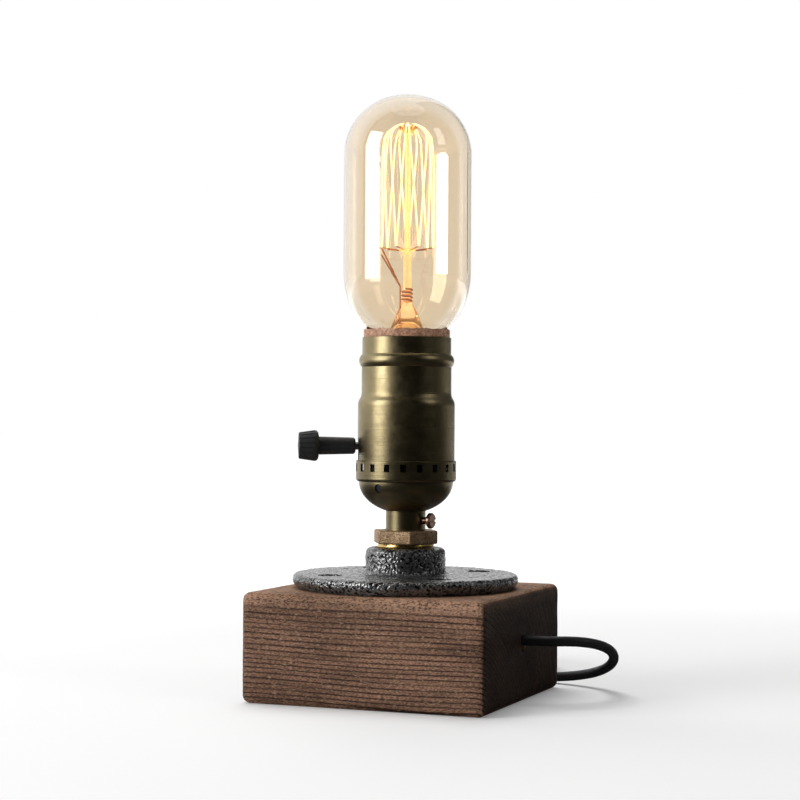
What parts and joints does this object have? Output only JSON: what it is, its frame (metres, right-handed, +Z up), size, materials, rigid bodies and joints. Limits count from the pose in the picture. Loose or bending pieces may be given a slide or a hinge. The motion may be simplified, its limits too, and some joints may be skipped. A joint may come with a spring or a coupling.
{
  "type": "bare bulb table lamp",
  "caption": "Table lamp: tubular filament bulb in a brass turn-knob holder on an iron pipe flange screwed to a stained wooden block, with a mains cord.",
  "frame": {"origin": "middle of the wooden block's underside, on the surface that the lamp stands on", "axes": "+Z up along the lamp axis, -Y the long-grain front of the block, +X the end-grain side that the cord leaves from"},
  "size_m": [0.156, 0.1512, 0.2119],
  "materials": {
    "stained_wood": "dark stain, worn edges",
    "cast_iron": "rough cast, oiled",
    "black_screw": "black oxide",
    "cast_brass": "rough cast, turned thread",
    "antique_brass": "antique, satin",
    "red_fibre": "matt, ragged edge",
    "black_phenolic": "moulded",
    "steel": "plain",
    "bright_brass": "bright",
    "cap_metal": "rolled sheet",
    "solder": "dull",
    "vitrite": "black glass",
    "amber_glass": "clear amber tint",
    "stem_glass": "clear",
    "lead_copper": "drawn wire",
    "filament": "glowing",
    "support_wire": "drawn wire",
    "cord_jacket": "satin black",
    "conductor": "insulated wire",
    "plug_plastic": "moulded black",
    "plug_brass": "bright"
  },
  "bodies": {
    "root": {"wood_base": "stained_wood", "floor_flange": "cast_iron", "flange_screws": "black_screw", "hex_bushing": "cast_brass", "lamp_nipple": "steel", "socket_cap": "antique_brass", "cap_liner": "red_fibre", "cap_set_screw": "antique_brass", "socket_shell": "antique_brass", "shell_liner": "red_fibre", "switch_body": "black_phenolic", "switch_cover": "black_phenolic", "body_rivets": "steel", "switch_contacts": "bright_brass", "terminal_plates": "bright_brass", "terminal_screws": "bright_brass", "screw_shell": "bright_brass", "centre_contact": "bright_brass", "supply_wires": "conductor", "cord_inside": "cord_jacket", "cord_run": "cord_jacket", "cord_coil": "cord_jacket", "cord_tail": "cord_jacket", "plug_body": "plug_plastic", "plug_blades": "plug_brass"},
    "knob": {"turn_knob": "black_phenolic", "switch_shaft": "steel", "switch_rotor": "black_phenolic"},
    "bulb_contact": {"bulb_tip": "solder"},
    "bulb": {"bulb_insulator": "vitrite", "bulb_cap": "cap_metal", "bulb_glass": "amber_glass", "bulb_stem": "stem_glass", "bulb_leads": "lead_copper", "stem_wrap": "lead_copper", "filament": "filament", "filament_supports": "support_wire"}
  },
  "joints": [
    {"name": "knob_turn", "type": "hinge", "parent": "root", "child": "knob", "pos_m": [0, 0, 0.0879], "axis": [-0.8988, -0.4384, 0], "continuous": true},
    {"name": "bulb_lift", "type": "slide", "parent": "root", "child": "bulb_contact", "axis": [0, 0, 1], "range_m": [0, 0.02]},
    {"name": "bulb_turn", "type": "hinge", "parent": "bulb_contact", "child": "bulb", "pos_m": [0, 0, 0.11], "axis": [0, 0, 1], "range_deg": [0, 1980]}
  ],
  "couplings": [
    {"joint": "bulb_lift", "follows": "bulb_turn", "m_per_rad": 0.00057757}
  ]
}
